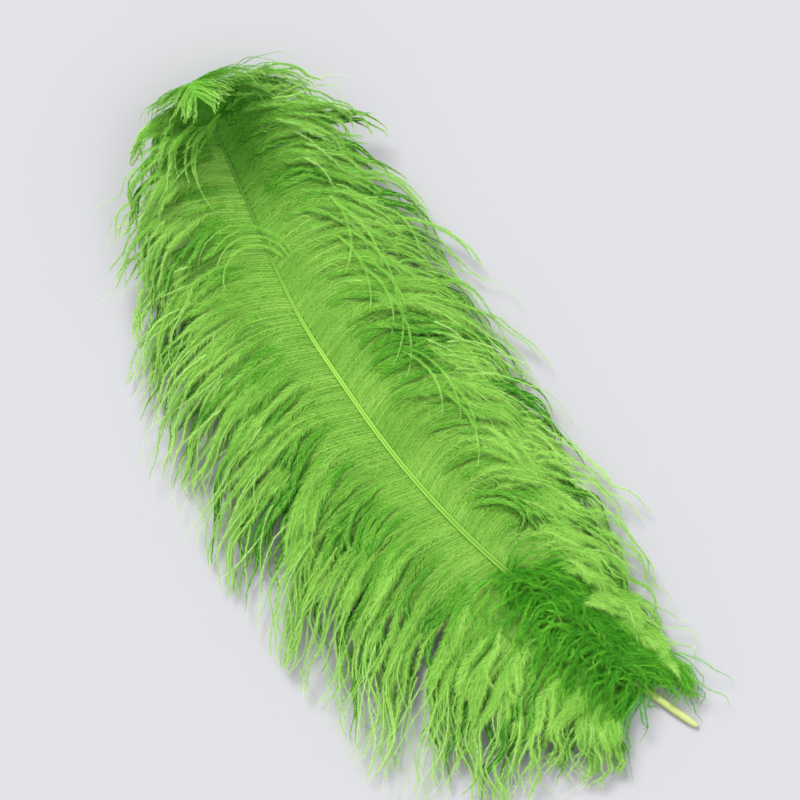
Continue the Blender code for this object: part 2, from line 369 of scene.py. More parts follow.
# barbules: slender triangles set along each barb on both sides, slanted by some degrees towards
# its tip and rolled about it; their ends are carried on along the barb and droop
def barbules(barbs, paths, rng, perBarb, fromShare, toShare, lengths, width, slant, roll,
             crowd=1.0, droop=0.25):
    count = len(paths)
    tangent, across, facing = pathFrames(barbs, paths)
    slots = (np.arange(perBarb)[None, :] + rng.random((count, perBarb))) / perBarb
    share = fromShare + (toShare - fromShare) * slots ** crowd
    sign = np.where(rng.random((count, perBarb)) < 0.5, -1.0, 1.0)[..., None]
    base = readRows(paths, share)
    t, a, f = readRows(tangent, share), readRows(across, share), readRows(facing, share)
    turn = rng.normal(0, 1, (count, perBarb, 1)) * roll
    outward = a * sign * np.cos(turn) + f * np.sin(turn)
    apart = np.radians(rng.normal(slant, slant * barbuleLook["slantSpread"], (count, perBarb, 1)))
    way = unit(t * np.cos(apart) + outward * np.sin(apart))
    size = knotValue(lengths, share)
    size = (size * rng.uniform(barbuleLook["shortest"], barbuleLook["longest"], share.shape))[..., None]
    broad = unit(np.cross(way, f + barbuleLook["twist"] * rng.normal(0, 1, way.shape))) * (width / 2)
    tip = base + way * size + (t * barbuleLook["forward"] - f * droop) * size * barbuleLook["bend"]
    tone = barbs["tone"][:, None] + rng.normal(0, barbuleLook["toneSpread"], share.shape)
    rows = aboveFloor(np.stack([base - broad, base + broad, tip], 2))
    traits = np.zeros(rows.shape)
    traits[..., 0] = share[..., None]
    traits[..., 1] = np.clip(tone, 0, 1)[..., None]
    traits[..., 2] = (0, 0, 1)
    triangles = np.arange(count * perBarb * 3).reshape(-1, 3)
    points = rows.reshape(-1, 3)
    sides = np.cross(points[triangles[:, 1]] - points[triangles[:, 0]],
                     points[triangles[:, 2]] - points[triangles[:, 0]])
    turned = sides[:, 2] < 0
    triangles[turned] = triangles[turned][:, ::-1]
    return points, triangles, traits.reshape(-1, 3)


def joined(*parts):  # several sets of points, triangles and traits as one
    points, triangles, traits, start = [], [], [], 0
    for p, f, t in parts:
        points.append(p)
        triangles.append(f + start)
        traits.append(t)
        start += len(p)
    return np.concatenate(points), np.concatenate(triangles), np.concatenate(traits)


# an empty shader node group with the given inputs and outputs
def newGroup(name, inputs, outputs):
    group = bpy.data.node_groups.new(name, "ShaderNodeTree")
    for label, kind, value in inputs:
        socket = group.interface.new_socket(label, in_out="INPUT", socket_type=kind)
        if value is not None:
            socket.default_value = value
    for label, kind in outputs:
        group.interface.new_socket(label, in_out="OUTPUT", socket_type=kind)
    return group, group.nodes.new("NodeGroupInput"), group.nodes.new("NodeGroupOutput")


fibreLook = {
    "patchScale": 20.0, "patchiness": 0.25, "grainScale": 900.0, "toneLight": 0.62,
    "fuzzLight": 0.55, "through": 0.22,  # how much light comes through a fibre
    # the first power below sets how the painted shade towards the barbs' ends grows along them
    "endShadePower": 2.5, "tipPower": 3.0, "lightPale": 0.45,
    "roughness": 0.56, "lighterRough": 0.16,  # lighter fibres are rougher
    "specular": 0.15, "sheen": 0.07, "sheenRoughness": 0.5, "sheenTint": (0.75, 1.0, 0.6, 1),
}


# colour of a dyed fibre: the deep colour near the root of a barbule, the body colour along it
# and the pale colour at its end and towards the barb's end, with a tone for each barb, a slow
# patchiness where the dye took unevenly, and where asked a painted shade towards the barb's end
def dyedFibreGroup():
    group, given, result = newGroup(
        "dyedFibre",
        [("Deep", "NodeSocketColor", None), ("Body", "NodeSocketColor", None),
         ("Pale", "NodeSocketColor", None), ("Patch Scale", "NodeSocketFloat", fibreLook["patchScale"]),
         ("Patchiness", "NodeSocketFloat", 0.2), ("Pale Tips", "NodeSocketFloat", 0.5),
         ("Painted Shade Ends", "NodeSocketFloat", 0.0), ("Grain", "NodeSocketFloat", 0.0)],
        [("Color", "NodeSocketColor"), ("Roughness", "NodeSocketFloat")])
    nodes, links = group.nodes, group.links
    traits = nodes.new("ShaderNodeAttribute")
    traits.attribute_name = "traits"
    split = nodes.new("ShaderNodeSeparateXYZ")
    links.new(traits.outputs["Vector"], split.inputs[0])

    def calc(operation, a, b, clamp=False):
        node = nodes.new("ShaderNodeMath")
        node.operation = operation
        node.use_clamp = clamp
        for socket, value in zip(node.inputs, (a, b)):
            if isinstance(value, (int, float)):
                socket.default_value = value
            else:
                links.new(value, socket)
        return node.outputs[0]

    def mix(factor, a, b):
        node = nodes.new("ShaderNodeMix")
        node.data_type = "RGBA"
        links.new(factor, node.inputs[0])
        links.new(a, node.inputs[6])
        links.new(b, node.inputs[7])
        return node.outputs[2]

    place = nodes.new("ShaderNodeTexCoord")
    patches = nodes.new("ShaderNodeTexNoise")
    patches.inputs["Detail"].default_value = 3.0
    links.new(place.outputs["Object"], patches.inputs["Vector"])
    links.new(given.outputs["Patch Scale"], patches.inputs["Scale"])
    patch = calc("MULTIPLY", calc("SUBTRACT", patches.outputs["Fac"], 0.5), given.outputs["Patchiness"])
    fuzz = calc("MULTIPLY", split.outputs["Z"], fibreLook["fuzzLight"])
    light = calc("ADD", calc("MULTIPLY", split.outputs["Y"], fibreLook["toneLight"]), fuzz)
    grain = nodes.new("ShaderNodeTexNoise")
    grain.inputs["Scale"].default_value = fibreLook["grainScale"]
    links.new(place.outputs["Object"], grain.inputs["Vector"])
    specks = calc("MULTIPLY", calc("SUBTRACT", grain.outputs["Fac"], 0.5), given.outputs["Grain"])
    light = calc("ADD", light, calc("ADD", calc("MULTIPLY", patch, 2.0), specks))
    # painted shade: darker towards the barb's end, as much as asked
    towardsEnd = calc("POWER", split.outputs["X"], fibreLook["endShadePower"])
    endShade = calc("MULTIPLY", towardsEnd, given.outputs["Painted Shade Ends"])
    light = calc("SUBTRACT", light, endShade, clamp=True)
    body = mix(light, given.outputs["Deep"], given.outputs["Body"])
    nearEnd = calc("POWER", split.outputs["X"], fibreLook["tipPower"])
    far = calc("MULTIPLY", nearEnd, given.outputs["Pale Tips"])
    lightest = calc("MULTIPLY", calc("POWER", light, 3.0), fibreLook["lightPale"])
    far = calc("ADD", far, lightest, clamp=True)
    links.new(mix(far, body, given.outputs["Pale"]), result.inputs["Color"])
    rough = calc("MULTIPLY", split.outputs["Y"], fibreLook["lighterRough"])
    rough = calc("ADD", rough, fibreLook["roughness"])
    links.new(rough, result.inputs["Roughness"])
    return group


dyedFibre = dyedFibreGroup()

dyes = {  # linear colours: deep, body, pale
    "felt": ((0.022, 0.180, 0.004), (0.300, 0.640, 0.075), (0.420, 0.760, 0.160)),
    "web": ((0.060, 0.310, 0.012), (0.370, 0.720, 0.100), (0.580, 0.860, 0.240)),
    "lock": ((0.050, 0.330, 0.006), (0.320, 0.750, 0.070), (0.640, 0.910, 0.280)),
    "pale": ((0.200, 0.520, 0.060), (0.410, 0.740, 0.150), (0.600, 0.840, 0.330)),
    "down": ((0.012, 0.180, 0.002), (0.070, 0.450, 0.010), (0.290, 0.690, 0.070)),
}


# a soft fibre: a rough shader with some sheen, mixed with light that comes through it
def fibreMaterial(name, dye, paleTips, paintedShadeEnds=0.0, grain=0.0):
    material = bpy.data.materials.new(name)
    material.use_nodes = True
    nodes, links = material.node_tree.nodes, material.node_tree.links
    shader = nodes["Principled BSDF"]
    colour = nodes.new("ShaderNodeGroup")
    colour.node_tree = dyedFibre
    for label, value in zip(("Deep", "Body", "Pale"), dyes[dye]):
        colour.inputs[label].default_value = (*value, 1)
    colour.inputs["Pale Tips"].default_value = paleTips
    colour.inputs["Patchiness"].default_value = fibreLook["patchiness"]
    colour.inputs["Painted Shade Ends"].default_value = paintedShadeEnds
    colour.inputs["Grain"].default_value = grain
    shader.inputs["Specular IOR Level"].default_value = fibreLook["specular"]
    shader.inputs["Sheen Weight"].default_value = fibreLook["sheen"]
    shader.inputs["Sheen Roughness"].default_value = fibreLook["sheenRoughness"]
    shader.inputs["Sheen Tint"].default_value = fibreLook["sheenTint"]
    links.new(colour.outputs["Color"], shader.inputs["Base Color"])
    links.new(colour.outputs["Roughness"], shader.inputs["Roughness"])
    behind = nodes.new("ShaderNodeBsdfTranslucent")
    links.new(colour.outputs["Color"], behind.inputs["Color"])
    blend = nodes.new("ShaderNodeMixShader")
    blend.inputs[0].default_value = fibreLook["through"]
    links.new(shader.outputs[0], blend.inputs[1])
    links.new(behind.outputs[0], blend.inputs[2])
    links.new(blend.outputs[0], nodes["Material Output"].inputs["Surface"])
    return material


# the felt gets a painted shade towards the barbs' ends, under and between the locks
feltMaterial = fibreMaterial("felt", "felt", paleTips=0.0, paintedShadeEnds=1.3, grain=0.9)
webMaterial = fibreMaterial("webFibre", "web", paleTips=0.35)
lockMaterial = fibreMaterial("lockFibre", "lock", paleTips=0.55)
downMaterial = fibreMaterial("downFibre", "down", paleTips=0.4)
paleMaterial = fibreMaterial("paleFibre", "pale", paleTips=0.8)
print("materials ready")


shaftDye = {
    # the last two stops, darker towards the tip, are a painted shade where the shaft lies inside the
    # curl
    "along": ((0.0, (0.50, 0.56, 0.22)), (0.08, (0.36, 0.46, 0.10)), (0.22, (0.20, 0.36, 0.045)),
              (0.34, (0.24, 0.50, 0.055)), (0.60, (0.38, 0.66, 0.085)), (0.76, (0.11, 0.33, 0.016)),
              (1.0, (0.06, 0.25, 0.012))),  # share of its length and colour
    # edge: the colour that the painted shade down the sides and in the groove multiplies in
    "edge": (0.30, 0.52, 0.16), "grainScale": (1600, 60, 1600), "grainBump": 0.25,
    "grainDepth": 0.0002, "roughness": 0.45, "coat": 0.05,
}


# the shaft: satin horn, yellow-green, browner low down, painted shade on its edges, groove and tip
def shaftMaterial():
    material = bpy.data.materials.new("shaftHorn")
    material.use_nodes = True
    nodes, links = material.node_tree.nodes, material.node_tree.links
    shader = nodes["Principled BSDF"]
    traits = nodes.new("ShaderNodeAttribute")
    traits.attribute_name = "traits"
    split = nodes.new("ShaderNodeSeparateXYZ")
    links.new(traits.outputs["Vector"], split.inputs[0])
    ramp = nodes.new("ShaderNodeValToRGB")
    stops = ramp.color_ramp.elements
    first, *between, last = shaftDye["along"]
    stops[0].position, stops[0].color = first[0], (*first[1], 1)
    stops[1].position, stops[1].color = last[0], (*last[1], 1)
    for position, colour in between:
        stops.new(position).color = (*colour, 1)
    links.new(split.outputs["X"], ramp.inputs["Fac"])
    # painted shade: multiplies the colour down the sides and in the groove
    edge = nodes.new("ShaderNodeMix")
    edge.data_type = "RGBA"
    edge.blend_type = "MULTIPLY"
    edge.inputs[7].default_value = (*shaftDye["edge"], 1)
    links.new(split.outputs["Y"], edge.inputs[0])
    links.new(ramp.outputs["Color"], edge.inputs[6])
    links.new(edge.outputs[2], shader.inputs["Base Color"])
    place = nodes.new("ShaderNodeTexCoord")
    stretch = nodes.new("ShaderNodeMapping")
    stretch.inputs["Scale"].default_value = shaftDye["grainScale"]
    grain = nodes.new("ShaderNodeTexNoise")
    grain.inputs["Scale"].default_value = 1.0
    links.new(place.outputs["Object"], stretch.inputs["Vector"])
    links.new(stretch.outputs["Vector"], grain.inputs["Vector"])
    bump = nodes.new("ShaderNodeBump")
    bump.inputs["Strength"].default_value = shaftDye["grainBump"]
    bump.inputs["Distance"].default_value = shaftDye["grainDepth"]
    links.new(grain.outputs["Fac"], bump.inputs["Height"])
    links.new(bump.outputs["Normal"], shader.inputs["Normal"])
    shader.inputs["Roughness"].default_value = shaftDye["roughness"]
    shader.inputs["Coat Weight"].default_value = shaftDye["coat"]
    return material


# the rings joined into a skin with a fan over each end, with painted shade down both sides and in the
# groove
def makeShaft():
    at, rings = shaftSurface(quillEnd)
    count, sides = rings.shape[:2]
    index = np.arange(count * sides).reshape(count, sides)
    a, b = index[:-1], np.roll(index[:-1], -1, 1)
    c, d = np.roll(index[1:], -1, 1), index[1:]
    triangles = np.stack([b, c, a, c, d, a], -1).reshape(-1, 3)
    ends = np.array([rings[0].mean(0), rings[-1].mean(0)])
    low, high = count * sides, count * sides + 1
    first = np.stack([np.full(sides, low), np.roll(index[0], -1), index[0]], 1)
    last = np.stack([index[-1], np.roll(index[-1], -1), np.full(sides, high)], 1)
    points = np.concatenate([rings.reshape(-1, 3), ends])
    turn = np.linspace(0, 2 * np.pi, sides, endpoint=False)
    fromGroove = np.minimum(turn, 2 * np.pi - turn) / shaftLook["groovePaintedShadeWidth"]
    shaftShade = np.abs(np.sin(turn)) ** shaftLook["sideShadePower"]
    shaftShade = shaftShade + shaftLook["groovePaintedShade"] * np.exp(-fromGroove ** 2)
    aboveQuill = smoothStep((at - shaftLook["paintedShadeFrom"]) / shaftLook["paintedShadeOver"])
    traits = np.zeros((count, sides, 3))
    traits[..., 0] = (at / plume["length"])[:, None]
    traits[..., 1] = np.clip(shaftShade, 0, 1)[None, :] * aboveQuill[:, None]
    traits = np.concatenate([traits.reshape(-1, 3), [[0, 0, 0], [1, 0, 0]]])
    triangles = np.concatenate([triangles, first, last])
    piece = addMesh("shaftHorn", points, triangles, traits, shaftMaterial())
    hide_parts("shaft")


makeShaft()

vane = {
    "spacing": 0.0021,  # between barbs along the shaft
    "curlSpacing": 0.0008,
    "from": 0.050, "to": 0.679, "curlFrom": 0.612,
    # the layers: share of the full length, height, how far locks close, fewest and most barbs in one
    "top": {"length": 0.95, "height": 0.0, "gather": 1.0, "lockSize": (2, 5)},
    "low": {"length": 0.83, "height": -0.003, "gather": 0.30, "lockSize": (2, 4)},
    "curl": {"length": 0.95, "height": -0.002, "gather": 0.08, "lockSize": (1, 3)},
    "drift": (3, 8),  # fewest and most locks that drift together
    "jitter": 0.0004, "closeness": (0.6, 1.08), "lowest": 0.0008,
    "barbSpread": 0.10, "lockSpread": 0.07, "lockSweep": 0.05, "lockRaise": 0.006,
    "ownTone": 0.72, "lockTone": 0.34,  # shares of a barb's tone that are its own and its lock's
    # how far they wander across and up: locks together, single barbs slowly, single barbs in ripples
    "lockWander": (0.007, 0.005), "barbWander": (0.0028, 0.003), "ripple": (0.0009, 0.001),
    "gatherFrom": 0.34, "gatherTo": 0.85,
    "gather": ((0.05, 0.70), (0.13, 0.90), (0.22, 0.94), (0.36, 0.74), (0.48, 0.55),
               (0.60, 0.42)),  # along the shaft
    "wave": ((0.05, 0.0052), (0.25, 0.0042), (0.40, 0.0022), (0.60, 0.0016)),
    "calmBelow": 0.11,  # barbs shorter than this wander less
    # middle and spread of the tones of the bed, the strips over it and the barbules beside the shaft
    "bedTone": (0.55, 0.3), "stripTone": (0.62, 0.4), "webTone": (0.62, 0.5),
    # painted shade: the first value darkens the locks below, the second drops tones inside the hood
    "belowPaintedShade": 0.72, "hollowPaintedShade": 0.9,
    "tilt": 0.05, "bedDrop": 0.0006, "stripDrop": 0.0005, "spineDrop": -0.0004, "spineFuzz": 0.58,
    "flatOverlap": 0.012, "curlOverlap": 0.006,  # how far the layers run on past where the curl starts
    "curlPaintedShade": ((0.618, 0.25), (0.648, 1.0)),  # painted shade, darker inside the curl
    "hollowFrom": (0.572, 0.500), "hollowTo": 0.602,  # left and right, painted shade inside the hood
}


# one layer of one side's barbs with their locks: a lock shares a sweep, a length and a height
def sideBarbs(side, stations, rng, length, height, gather, lockSize):
    at = stations + rng.normal(0, vane["jitter"], len(stations))
    barbs = newBarbs(side, at, rng, length=length, lengthSpread=vane["barbSpread"])
    lock = lockNumbers(len(at), *lockSize, rng)
    perLock = lock.max() + 1
    big = lockNumbers(perLock, *vane["drift"], rng)[lock]
    calm = np.clip(barbs["length"] / vane["calmBelow"], 0.15, 1.0)  # short barbs differ less
    barbs["length"] = barbs["length"] * (1 + rng.normal(0, vane["lockSpread"], perLock))[lock]
    turned = rng.normal(0, vane["lockSweep"], perLock)[lock]
    turned = turned + rng.normal(0, vane["lockSweep"], big.max() + 1)[big]
    barbs["sweep"] = barbs["sweep"] * (1 + calm * turned)
    barbs["raise"] = height + rng.uniform(0, vane["lockRaise"], perLock)[lock]
    shared = vane["lockTone"] * rng.random(perLock)[lock]
    barbs["tone"] = np.clip(vane["ownTone"] * barbs["tone"] + shared, 0, 1)
    paths = barbPaths(barbs)
    across, facing = pathFrames(barbs, paths)[1:]
    calm = calm[:, None]
    wave = knotValue(vane["wave"], at)[:, None] * calm
    size, lift = vane["lockWander"]
    paths = wander(paths, across, facing, rng, size * calm, lift * calm, groups=lock)
    paths = wander(paths, across, facing, rng, wave, wave, groups=lock, cycles=2.4, power=1.1)
    strength = gather * knotValue(vane["gather"], at)
    strength = strength * rng.uniform(*vane["closeness"], len(at)).clip(0, 1)
    paths = gatherLocks(paths, lock, vane["gatherFrom"], vane["gatherTo"], strength)
    size, lift = vane["barbWander"]
    paths = wander(paths, across, facing, rng, size * calm, lift * calm)
    size, lift = vane["ripple"]
    paths = wander(paths, across, facing, rng, size * calm, lift * calm, cycles=3.2, power=1.2)
    return barbs, aboveFloor(trimmed(paths), vane["lowest"])


bedWidths = ((0.0, 0.0030), (0.35, 0.0042), (0.70, 0.0044), (0.85, 0.0018), (1.0, 0.0003))
webWidths = ((0.0, 0.0018), (0.25, 0.0022), (0.42, 0.0012), (0.60, 0.0005), (1.0, 0.0002))
spineWidths = ((0.0, 0.00036), (0.5, 0.00040), (0.8, 0.00048), (1.0, 0.00024))
barbuleLengths = ((0.0, 0.0035), (0.15, 0.0062), (0.40, 0.0060), (0.60, 0.0045), (0.85, 0.0031),
                  (0.97, 0.0018), (1.0, 0.0008))
curlWidths = ((0.0, 0.0013), (0.25, 0.0008), (0.50, 0.00035), (1.0, 0.0001))
curlBarbules = ((0.0, 0.0015), (0.2, 0.0028), (0.6, 0.0024), (1.0, 0.0005))
# barbules beside the shaft, on the locks, on the locks below and on the curl
barbuleSets = {
    "web": {"perBarb": 430, "fromShare": 0.0, "toShare": 0.60, "lengths": barbuleLengths,
            "width": 0.00030, "slant": 44, "roll": 0.16, "droop": 0.05},
    "locks": {"perBarb": 450, "fromShare": 0.30, "toShare": 1.0, "lengths": barbuleLengths,
              "width": 0.00034, "slant": 30, "roll": 0.8, "crowd": 0.9},
    "below": {"perBarb": 280, "fromShare": 0.22, "toShare": 1.0, "lengths": barbuleLengths,
              "width": 0.00036, "slant": 30, "roll": 0.5, "crowd": 0.85},
    "curl": {"perBarb": 260, "fromShare": 0.02, "toShare": 1.0, "lengths": curlBarbules,
             "width": 0.00022, "slant": 26, "roll": 0.8, "droop": 0.1},
}


def takeBarbs(barbs, paths, keep):  # some of the barbs with their lines
    return {k: v[keep] for k, v in barbs.items()}, paths[keep]


# the same barbs with tones drawn towards one value, less a painted shade inside the hood
def toned(barbs, middle, spread):
    start = np.where(barbs["side"] < 0, *vane["hollowFrom"])
    hollow = smoothStep((barbs["at"] - start) / (vane["hollowTo"] - start))
    # painted shade: tones drop inside the hood, where its shadow falls
    tone = middle + spread * (barbs["tone"] - 0.5) - vane["hollowPaintedShade"] * hollow
    return {**barbs, "tone": tone}


surfacePoints = []  # of the top layer, for what lies over it


# one side: a felted bed and strips, fine barbules over them, locks further out and the curl's barbs
def makeSide(name, side, seed):
    rng = np.random.default_rng(seed)
    flat = np.arange(vane["from"], vane["curlFrom"] + vane["flatOverlap"], vane["spacing"])
    low, lowPaths = sideBarbs(side, flat + vane["spacing"] / 2, rng, **vane["low"])
    top, topPaths = sideBarbs(side, flat, rng, **vane["top"])
    surfacePoints.append(topPaths.reshape(-1, 3))
    tilt = vane["tilt"] * side
    bed = ribbons(toned(low, *vane["bedTone"]), lowPaths, bedWidths, tilt, vane["bedDrop"])
    strips = ribbons(toned(top, *vane["stripTone"]), topPaths, webWidths, -tilt, vane["stripDrop"])
    felt = addMesh(name + "Felt", *joined(bed, strips), feltMaterial)
    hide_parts(name + "_vane")
    soft = toned(top, *vane["webTone"])
    spines = ribbons(soft, topPaths, spineWidths, drop=vane["spineDrop"], fuzz=vane["spineFuzz"])
    inner = barbules(soft, topPaths, rng, **barbuleSets["web"])
    web = addMesh(name + "Web", *joined(spines, inner), webMaterial)
    half = len(flat) // 2
    for part, keep in (("Lower", slice(0, half)), ("Upper", slice(half, None))):
        some, lines = takeBarbs(top, topPaths, keep)
        # painted shade: the locks below get darker tones, for the shade under and between the locks
        # above
        shadedBelow = {**low, "tone": vane["belowPaintedShade"] * low["tone"]}
        under, underLines = takeBarbs(shadedBelow, lowPaths, keep)
        fuzz = barbules(some, lines, rng, **barbuleSets["locks"])
        below = barbules(under, underLines, rng, **barbuleSets["below"])
        piece = addMesh(name + part + "Locks", *joined(fuzz, below), lockMaterial)
    curl = np.arange(vane["curlFrom"] - vane["curlOverlap"], vane["to"], vane["curlSpacing"])
    tip, tipPaths = sideBarbs(side, curl, rng, **vane["curl"])
    # painted shade: the curl's barbs are darkened where it starts, inside the hood
    (darkTo, dark), (lightFrom, light) = vane["curlPaintedShade"]
    opened = smoothStep((tip["at"] - darkTo) / (lightFrom - darkTo))
    tip["tone"] = tip["tone"] * (dark + (light - dark) * opened)
    strips = ribbons(tip, tipPaths, curlWidths)
    fine = barbules(tip, tipPaths, rng, **barbuleSets["curl"])
    piece = addMesh(name + "Curl", *joined(strips, fine), lockMaterial)


makeSide("left", -1, 11)
makeSide("right", 1, 12)

wisp = {"left": 130, "right": 90, "from": 0.07, "to": 0.60,
        "spread": 0.07, "sweepSpread": 0.08, "slantSpread": 3.0,
        "raise": 0.008, "sway": 0.018, "lift": 0.006, "ripple": 0.002,
        "shownFrom": 0.5,  # the part nearer the shaft is left off
        "leftLength": ((0.05, 1.08), (0.15, 1.16), (0.30, 1.12), (0.40, 1.00), (0.68, 0.90)),
        "rightLength": ((0.05, 0.98), (0.30, 0.94), (0.50, 0.90), (0.68, 0.85)),
        "widths": ((0, 0.0006), (0.6, 0.0005), (1, 0.00015)),
        "barbules": {"perBarb": 150, "fromShare": 0.0, "toShare": 0.92, "width": 0.00026,
                     "lengths": ((0, 0.0050), (0.6, 0.0034), (1, 0.0007)), "slant": 28,
                     "roll": 0.9, "crowd": 1.3}}


# thin strands with little fuzz that reach past the rest, from the outer half of long barbs
def makeWisps(name, side, seed):
    rng = np.random.default_rng(seed)
    which = "left" if side < 0 else "right"
    at = np.sort(rng.uniform(wisp["from"], wisp["to"], wisp[which]))
    reach = knotValue(wisp[which + "Length"], at)
    barbs = newBarbs(side, at, rng, reach, wisp["spread"], wisp["sweepSpread"], wisp["slantSpread"])
    barbs["raise"] = rng.uniform(0.0, wisp["raise"], len(at))
    paths = barbPaths(barbs, 36)
    across, facing = pathFrames(barbs, paths)[1:]
    paths = wander(paths, across, facing, rng, wisp["sway"], wisp["lift"], power=2.4)
    paths = trimmed(wander(paths, across, facing, rng, wisp["ripple"], wisp["ripple"], cycles=3))
    shown = np.tile(np.linspace(wisp["shownFrom"], 1, 30), (len(at), 1))
    paths = aboveFloor(readRows(paths, shown), 0.001)
    strips = ribbons(barbs, paths, wisp["widths"], fuzz=0.8)
    fuzz = barbules(barbs, paths, rng, **wisp["barbules"])
    piece = addMesh(name, *joined(strips, fuzz), paleMaterial)


makeWisps("leftWisps", -1, 21)
makeWisps("rightWisps", 1, 22)

down = {"count": 420, "from": 0.046, "to": 0.195, "length": (0.025, 0.080), "curl": 0.0055,
        "highest": 0.022, "paleShare": 0.26, "paleTone": 1.25, "darkTone": 0.35,
        "ownTone": 0.3, "toneLess": 0.15,
        "rightShare": 0.74, "overShare": 0.35,  # of the strands, on the right and across the shaft
        "over": (0.006, 0.022), "sweep": (0.80, 1.10), "slantSpread": 20.0, "raise": 0.008,
        "hump": 0.003, "lift": 0.002,
        "widths": ((0, 0.0005), (0.7, 0.0004), (1, 0.0001)),
        "barbules": {"perBarb": 230, "fromShare": 0.0, "toShare": 1.0, "width": 0.00026,
                     "lengths": ((0, 0.0040), (0.6, 0.0042), (1, 0.0010)), "slant": 34,
                     "roll": 1.0}}


# soft wavy down over the lower shaft, most of it on the right; some strands cross the shaft
def makeDown(seed):
    rng = np.random.default_rng(seed)
    at = np.sort(down["from"] + (down["to"] - down["from"]) * rng.beta(1.2, 1.5, down["count"]))
    side = np.where(rng.random(len(at)) < down["rightShare"], 1.0, -1.0)
    barbs = newBarbs(1, at, rng, slantSpread=down["slantSpread"])
    barbs["side"] = side
    barbs["length"] = rng.uniform(*down["length"], len(at))
    barbs["sweep"] = rng.uniform(*down["sweep"], len(at))
    pale = rng.random(len(at)) < down["paleShare"]
    tone = np.where(pale, down["paleTone"], down["darkTone"]) + down["ownTone"] * barbs["tone"]
    barbs["tone"] = tone - down["toneLess"]
    barbs["raise"] = rng.uniform(0.0, down["raise"], len(at))
    paths = barbPaths(barbs, 30)
    across, facing = pathFrames(barbs, paths)[1:]
    crosses = rng.random(len(at)) < down["overShare"]
    over = np.where(crosses, rng.uniform(*down["over"], len(at)), 0.0) * side
    paths = paths - shaftFrame(at)[2][:, None] * over[:, None, None]
    share = np.linspace(0, 1, paths.shape[1])[None, :]
    paths[..., 2] += down["hump"] * np.sin(np.pi * share) + down["lift"]
    paths = wander(paths, across, facing, rng, down["curl"], down["lift"], power=1.0)
    paths = wander(paths, across, facing, rng, down["lift"], down["lift"], power=0.8, cycles=2.0)
    paths[..., 2] = down["highest"] * np.tanh(paths[..., 2] / down["highest"])
    paths = aboveFloor(trimmed(paths), 0.002)
    strips = ribbons(barbs, paths, down["widths"], fuzz=0.5)
    fuzz = barbules(barbs, paths, rng, **down["barbules"])
    piece = addMesh("baseDown", *joined(strips, fuzz), downMaterial)


makeDown(31)

# strands lying loose over the vanes: distance along the shaft, distance out to the right of it,
# heading in degrees clockwise from the way the barbs hang, turn along it, length, clearance;
# each is made twice, the second time with a small random change to all six
strays = ((0.496, 0.011, 156, -150, 0.088, 0.007), (0.489, 0.016, 160, -140, 0.080, 0.005),
          (0.606, -0.004, 50, -70, 0.050, 0.004), (0.606, -0.010, 60, -80, 0.045, 0.005),
          (0.606, 0.006, 60, -90, 0.060, 0.006), (0.606, 0.002, 30, 20, 0.035, 0.004),
          (0.520, 0.060, -50, 75, 0.065, 0.004), (0.490, 0.052, -60, 70, 0.070, 0.004),
          (0.455, 0.060, -65, 80, 0.060, 0.004), (0.430, 0.075, -30, 60, 0.070, 0.004),
          (0.380, 0.050, -75, 80, 0.065, 0.004), (0.330, 0.060, -60, 70, 0.065, 0.004))
strayChange = (0.006, 0.006, 12, 14, 0.012, 0.001)
strayTone = (0.5, 0.85)
strayWidths = ((0, 0.00035), (0.6, 0.00035), (1, 0.0002))
strayBarbules = {"perBarb": 560, "fromShare": 0.0, "toShare": 0.98, "width": 0.00018,
                 "lengths": ((0, 0.0045), (0.5, 0.0040), (1, 0.0010)), "slant": 24, "roll": 1.0}
leftWay = (-0.789, 0.614, 0.0)  # square to the way the barbs hang


# height of the barbs' top layer on a square grid: the highest point in each cell, spread over
# its neighbours and averaged
def surfaceHeight(x, y, cell=0.004):
    points = np.concatenate(surfacePoints)
    low = points[:, :2].min(0) - 3 * cell
    size = ((points[:, :2].max(0) - low) / cell).astype(int) + 5
    grid = np.zeros(size)
    place = ((points[:, :2] - low) / cell).astype(int)
    np.maximum.at(grid, (place[:, 0], place[:, 1]), points[:, 2])
    shifts = [(i, j) for i in (-1, 0, 1) for j in (-1, 0, 1)]
    for combine in (np.max, np.mean, np.mean):
        grid = combine([np.roll(grid, shift, (0, 1)) for shift in shifts], axis=0)
    column = np.clip(((x - low[0]) / cell).astype(int), 0, size[0] - 1)
    row = np.clip(((y - low[1]) / cell).astype(int), 0, size[1] - 1)
    return grid[column, row]


# a strand turns at an even rate and lies over what is below it, highest in its middle
def makeStrays(seed):
    rng = np.random.default_rng(seed)
    changed = [[value + rng.normal(0, change) for value, change in zip(row, strayChange)]
               for row in strays]
    at, out, heading, turn, length, clear = np.array([*strays, *changed]).T
    centre, _, sideways, _ = shaftFrame(at, quillEnd)
    share = np.linspace(0, 1, 33)[None, :]
    angle = np.radians(heading[:, None] + turn[:, None] * share)
    hangWay = np.array(plume["sweepWay"])
    moves = hangWay * np.cos(angle)[..., None] + np.array(leftWay) * np.sin(angle)[..., None]
    start = centre + sideways * out[:, None]
    steps = moves[:, 1:] * (length / 32)[:, None, None]
    paths = np.concatenate([start[:, None], start[:, None] + np.cumsum(steps, 1)], 1)
    under = surfaceHeight(paths[..., 0], paths[..., 1])
    under[:, 1:-1] = (under + np.roll(under, 1, 1) + np.roll(under, -1, 1))[:, 1:-1] / 3
    paths[..., 2] = under + clear[:, None] * np.sin(np.pi * (0.1 + 0.85 * share))
    barbs = {"at": 0 * at, "tone": rng.uniform(*strayTone, len(at))}
    strips = ribbons(barbs, paths, strayWidths, fuzz=0.4)
    fuzz = barbules(barbs, paths, rng, **strayBarbules)
    piece = addMesh("strays", *joined(strips, fuzz), lockMaterial)


makeStrays(41)


